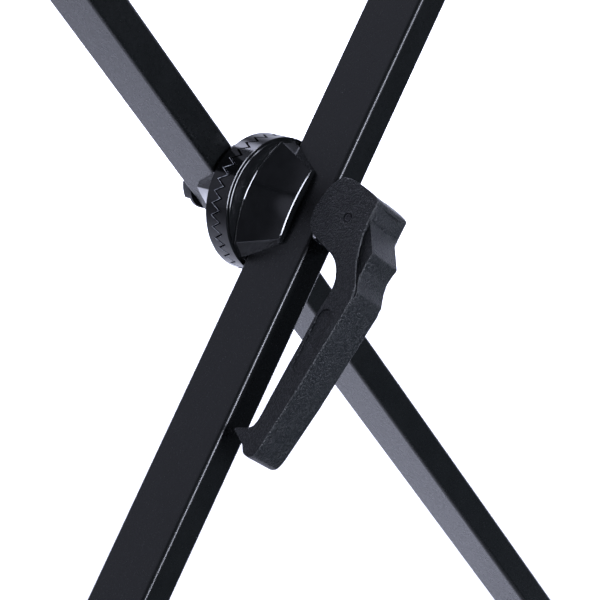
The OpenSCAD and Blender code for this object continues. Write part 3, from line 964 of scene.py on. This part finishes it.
def threadedProfile(radius, start, end, pitch, depth, tip=1.0):
    # From start to end along Y, with blunt vees
    profile = []
    y = start
    while y + pitch < end - tip:
        profile += [(radius, y), (radius, y + 0.12 * pitch), (radius - depth, y + 0.5 * pitch),
                    (radius - depth, y + 0.6 * pitch)]
        y += pitch
    return profile + [(radius, y), (radius, end - tip), (radius - tip, end), (0, end)]


def drawBolt():
    b = bolt
    shank = revolve([(0, -pinY), (b["radius"], -pinY)]
                    + threadedProfile(b["radius"], b["threadFrom"], b["tail"], b["pitch"],
                                      b["threadDepth"]), 48)
    eye = prism(circleOutline(b["eye"], 64), -b["eyeHalf"], b["eyeHalf"], fromSide)
    hole = prism(circleOutline(b["hole"], 40), -20, 20, fromSide)
    return cut(added(shank, softened(eye, b["eyeBevel"])), hole)


def hexNut(across, height, bore, collar=0.2, turn=0.0):
    # A chamfered hexagon with a rounded collar over its locking ring
    n = nutShape
    angles = [2 * pi * k / 72 for k in range(72)]
    flats = [across / 2 / cos((angle - turn + pi / 6) % (pi / 3) - pi / 6) for angle in angles]
    hexTop = height * (1 - collar)
    chamfer = n["chamfer"] * across
    rise = [0, 0.25 * chamfer, 0.6 * chamfer, chamfer]
    # each ring follows the hexagon, but reaches no further out than its limit
    limits = [(bore, 0)]
    for y in rise + [hexTop - up for up in reversed(rise)]:
        limits.append((n["coneRadius"] * across + n["coneSlope"] * min(y, hexTop - y), y))
    limits += [(n["collarRadius"] * across, hexTop),
               (n["collarRadius"] * across, height - n["collarRound"] * across),
               (n["collarTop"] * across, height), (bore + 0.5, height), (bore, height - 0.5)]
    return loft([[around(min(flat, limit), y, angle) for flat, angle in zip(flats, angles)]
                 for limit, y in limits], looped=True)


inPlaceOf("draw_bolt", drawBolt(), legs["front"], "draw_bolt")
lockNut = hexNut(bolt["nutAcross"], bolt["nutHeight"], bolt["radius"] + bolt["clearance"],
                 bolt["nutCollar"], radians(bolt["nutTurn"]))
inPlaceOf("bolt_lock_nut", moved(lockNut, shiftBy(0, bolt["nutFrom"], 0)), legs["front"],
          "draw_bolt")
print("draw bolt made")


# Release spring between the clutch halves
spring = {"wire": 2.2, "radius": 9.5, "turns": 4, "half": 7.75, "taper": 0.8, "perTurn": 36,
          "sides": 10}


def releaseSpring():
    rings = []
    count = round(spring["turns"] * spring["perTurn"])
    slope = 2 * spring["half"] / (2 * pi * spring["turns"])
    for i in range(count + 1):
        angle = 2 * pi * i / spring["perTurn"]
        out = Vector((cos(angle), 0, sin(angle)))
        along = Vector((-sin(angle) * spring["radius"], slope, cos(angle) * spring["radius"]))
        up = along.normalized().cross(out)
        centre = out * spring["radius"] + Vector((0, -spring["half"] + slope * angle, 0))
        taper = 1 if 0 < i < count else spring["taper"]
        rings.append(hoop(centre, spring["wire"] / 2 * taper, out, up, spring["sides"]))
    return loft(rings)


springPiece = inPlaceOf("release_spring", releaseSpring(), legs["front"], None)
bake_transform(springPiece)
print("spring made")


# Cross bars and what is on them: here Z points outward and the bar's axis is at the origin
bar = {
    "radius": 15,
    "wall": 1.5,
    "half": 196,
    "capEnd": 200,
    "capLength": 40,
    "capRadius": 18.5,
    "capRound": 3,
    "padFrom": 100,
    "padTo": 155,
    "padRadius": 18,
    "edge": 0.3,
    "fit": 0.1,            # between the bar and what is on it
    "capRings": {"count": 5, "from": 6, "pitch": 5, "width": 2, "depth": 0.7, "slope": 0.5},
    "padRings": {"from": 1.5, "pitch": 2.6, "land": 1.1, "width": 2.1, "depth": 0.6, "slope": 0.5},
    "dimple": 7,
    "dimpleDepth": 0.6,
    "cradleSeat": 19.1,
    "cradleSide": 17.5,
    "cradleFlat": 13,
    "cradleSkirt": 6,
    "cradleHalf": 55,
    "cradleBevel": 0.9,
    "screwRadius": 3,
    "screwPlace": 38,
    "screwRoom": 0.25,
    "threadFrom": 17,
    "pitch": 1.0,
    "threadDepth": 0.5,
    "threadTip": 0.6,
    "socketRadius": 2.3,
    "socketFloor": 1.3,
    "headRadius": 5.25,
    "headHeight": 3.3,
    "nutAcross": 10,
    "nutHeight": 6,
    "washer": 1.6,
    "tail": 1.5,
}
ends = {
    "foot": Matrix.Translation((0, 0, -footReach)) @ upsideDown,
    "arm": Matrix.Translation((0, 0, armReach)),
}
screwPlaces = [tubeMiddle - bar["screwPlace"], tubeMiddle + bar["screwPlace"]]
alongZ = Matrix.Rotation(pi / 2, 4, "X")


def screwHoles(radius):
    return [moved(revolve([(0, -40), (radius, -40), (radius, 40), (0, 40)], 32),
                  shiftBy(0, y, 0) @ alongZ) for y in screwPlaces]


def crossBar():
    b = bar
    inner, edge = b["radius"] - b["wall"], b["edge"]
    pipe = revolve([(inner, -b["half"]), (b["radius"] - edge, -b["half"]),
                    (b["radius"], -b["half"] + edge), (b["radius"], b["half"] - edge),
                    (b["radius"] - edge, b["half"]), (inner, b["half"])], 72)
    return cut(pipe, *screwHoles(b["screwRadius"] + b["screwRoom"]))


def cradle():
    # A saddle of pressed steel between the bar and the leg tube
    b = bar
    bore = b["radius"] + b["fit"]
    outline = [(b["cradleSide"], 0), (b["cradleSide"], -b["cradleSkirt"]),
               (b["cradleFlat"], -b["cradleSeat"]), (-b["cradleFlat"], -b["cradleSeat"]),
               (-b["cradleSide"], -b["cradleSkirt"]), (-b["cradleSide"], 0)]
    outline += [(-bore * cos(pi * k / 24), -bore * sin(pi * k / 24)) for k in range(25)]
    block = prism(outline, tubeMiddle - b["cradleHalf"], tubeMiddle + b["cradleHalf"], lengthwise)
    return cut(softened(block, b["cradleBevel"], 3, 24),
               *screwHoles(b["screwRadius"] + b["screwRoom"]))


def endCap():
    # Rubber cap with grip rings and a domed end
    b, rings = bar, bar["capRings"]
    start, radius, corner = b["capEnd"] - b["capLength"], b["capRadius"], b["capRound"]
    bore = b["radius"] + b["fit"]
    profile = [(bore, b["half"]), (bore, start), (radius - 1.2, start),
               (radius - 0.4, start + 0.5), (radius, start + 1.4)]
    for k in range(rings["count"]):
        y = start + rings["from"] + rings["pitch"] * k
        profile += [(radius, y), (radius - rings["depth"], y + rings["slope"]),
                    (radius - rings["depth"], y + rings["width"] - rings["slope"]),
                    (radius, y + rings["width"])]
    for k in range(9):
        angle = pi / 2 * k / 8
        profile.append((radius - corner + corner * cos(angle),
                        b["capEnd"] - corner + corner * sin(angle)))
    floor = b["capEnd"] - b["dimpleDepth"]
    profile += [(b["dimple"] + 1, b["capEnd"]), (b["dimple"], floor), (0, floor), (0, b["half"])]
    return revolve(profile, 72)


def gripPad():
    # Rubber sleeve with close rings, under the keyboard
    b, rings = bar, bar["padRings"]
    start, end, radius = b["padFrom"], b["padTo"], b["padRadius"]
    bore = b["radius"] + b["fit"]
    profile = [(bore, end), (bore, start), (radius - 1, start), (radius - 0.2, start + 0.5)]
    y = start + rings["from"]
    while y < end - 3.4:
        profile += [(radius, y), (radius, y + rings["land"]),
                    (radius - rings["depth"], y + rings["land"] + rings["slope"]),
                    (radius - rings["depth"], y + rings["width"])]
        y += rings["pitch"]
    profile += [(radius, y), (radius - 0.2, end - 0.5), (radius - 1, end)]
    return revolve(profile, 72)


def buttonBolts():
    b = bar
    shankEnd = b["cradleSeat"] + b["washer"] + b["nutHeight"] + b["tail"]
    dome = (b["headRadius"] ** 2 + b["headHeight"] ** 2) / (2 * b["headHeight"])
    head = []
    for k in range(9):
        r = b["headRadius"] * (1 - k / 8)
        head.append((r, b["radius"] + b["headHeight"] - dome + sqrt(dome ** 2 - r * r)))
    thread = threadedProfile(b["screwRadius"], b["threadFrom"], shankEnd, b["pitch"],
                             b["threadDepth"], b["threadTip"])
    lower = [(r, -y) for r, y in reversed(thread)]
    profile = lower + [(b["screwRadius"], b["radius"]), (b["headRadius"], b["radius"])] + head
    socket = prism([(b["socketRadius"] * cos(pi / 3 * k), b["socketRadius"] * sin(pi / 3 * k))
                    for k in range(6)], b["radius"] + b["socketFloor"], b["radius"] + 9, upright)
    screw = cut(moved(revolve(profile, 40), alongZ), socket)
    return beside(*[moved(screw, shiftBy(0, y, 0)) for y in screwPlaces])


def screwNuts():
    b = bar
    seat = -b["cradleSeat"] - b["washer"]
    nut = moved(hexNut(b["nutAcross"], b["nutHeight"], b["screwRadius"] + bolt["clearance"]),
                Matrix.Rotation(-pi / 2, 4, "X"))
    return beside(*[moved(nut, shiftBy(0, y, seat)) for y in screwPlaces])


def bothEnds(mesh):
    return beside(mesh, moved(mesh, Matrix.Scale(-1, 4, (0, 1, 0))))


def trodden(mesh, placement):
    # The flat tread under a foot cap: nothing reaches below the floor
    level = placement.inverted()
    for vertex in mesh.vertices:
        place = placement @ vertex.co
        if place.z < 0:
            place.z = 0
            vertex.co = level @ place
    return mesh


barParts = {"bar": crossBar(), "cradle": cradle(), "bolts": buttonBolts(), "nuts": screwNuts()}
for side in legs:
    for end, atEnd in ends.items():
        for part, mesh in barParts.items():
            onLeg(side, end + "_" + part, moved(mesh, atEnd))
        caps = moved(bothEnds(endCap()), atEnd)
        onLeg(side, end + "_caps", trodden(caps, legs[side]))
    onLeg(side, "arm_sleeves", moved(bothEnds(gripPad()), ends["arm"]))
print("bars, cradles and rubber made")


# Floor, lights and camera: places from the pivot, in metres
studio = {
    "floorHalf": 40,
    "tint": (0.80, 0.83, 1.04),
    "panels": {
        "front": {"place": (-0.17, -1.79, 0.40), "size": 0.22, "length": 1.6, "lean": -37,
                  "radiance": 7.5, "spread": 60, "tint": (0.84, 0.88, 1.04)},
        "upper": {"place": (0.58, -1.42, 0.74), "size": 0.4, "radiance": 3.5, "spread": 60,
                  "tint": (0.84, 0.88, 1.04)},
        "ceiling": {"place": (1.88, 1.92, 2.2), "target": (1.88, 1.92, 0), "size": 2.5,
                    "radiance": 8.9, "spread": 114},
        "low": {"place": (-0.95, 0.1, 1.5), "target": (-0.95, 0.1, 0), "size": 0.6,
                "radiance": 10, "spread": 45},
    },
    "sky": {                # direction, radiance, and the dot products where it starts and is full
        "base": ((0, 0, 1), 0.155, -2, -1.5),      # full all round
        "backdrop": ((0.80, 0.60, 0.10), 1.1, 0.86, 1.0),
        "left": ((-0.52, 0.62, 0.58), 0.54, 0.70, 0.90),
        "glow": ((-0.70, 0.02, 0.71), 0.8, 0.986, 0.9995),
        "right": ((0.99, -0.09, 0.11), 1.1, 0.80, 0.95),
    },
    "camera": {"place": (-0.713758, -0.751782, 0.291683), "turn": (71.3421, 1.0534, -44.8386),
               "lens": 113.12},
}


def makeFloor():
    reach = studio["floorHalf"]
    mesh = meshOf([(-reach, -reach, 0), (reach, -reach, 0), (reach, reach, 0), (-reach, reach, 0)],
                  [(0, 1, 2, 3)])
    mesh.materials.append(paleFloor())
    floor = bpy.data.objects.new("floor", mesh)
    bpy.context.scene.collection.objects.link(floor)


def makePanel(name, place, size, radiance, spread, target=(0, 0, 0), length=0.0, lean=0.0,
              tint=studio["tint"]):
    # A soft light that the camera doesn't see: round, or longer one way and leaning
    lamp = bpy.data.lights.new(name, "AREA")
    lamp.shape = "ELLIPSE"
    lamp.size = size
    lamp.size_y = length or size
    lamp.energy = radiance * pi * pi * lamp.size * lamp.size_y / 4      # radiance over an ellipse
    lamp.color = tint
    lamp.spread = radians(spread)
    light = bpy.data.objects.new(name, lamp)
    light.location = pivot + Vector(place)
    aim = (Vector(target) - Vector(place)).to_track_quat("-Z", "Y").to_matrix()
    light.rotation_euler = (aim @ Matrix.Rotation(radians(lean), 3, "Z")).to_euler()
    light.visible_camera = False
    bpy.context.scene.collection.objects.link(light)


def makeSky():
    world = bpy.data.worlds.new("sky")
    world.use_nodes = True
    tree = world.node_tree
    background = tree.nodes["Background"]
    background.inputs["Color"].default_value = (*studio["tint"], 1)
    direction = tree.nodes.new("ShaderNodeTexCoord").outputs["Generated"]
    total = None
    for axis, radiance, none, full in studio["sky"].values():
        part = tree.nodes.new("ShaderNodeMath")
        part.operation = "MULTIPLY_ADD"
        part.inputs[1].default_value = radiance
        part.inputs[2].default_value = 0
        tree.links.new(directionFade(tree, direction, axis, none, full), part.inputs[0])
        if total:
            tree.links.new(total, part.inputs[2])
        total = part.outputs["Value"]
    tree.links.new(total, background.inputs["Strength"])
    bpy.context.scene.world = world


def makeCamera(place, turn, lens):
    lensData = bpy.data.cameras.new("camera")
    lensData.lens = lens
    lensData.sensor_width = 36
    camera = bpy.data.objects.new("camera", lensData)
    camera.location = pivot + Vector(place)
    camera.rotation_euler = [radians(angle) for angle in turn]
    bpy.context.scene.collection.objects.link(camera)
    bpy.context.scene.camera = camera


makeFloor()
for panelName, settings in studio["panels"].items():
    makePanel(panelName, **settings)
makeSky()
makeCamera(**studio["camera"])
bpy.context.scene.view_settings.view_transform = "Standard"
print("studio made")
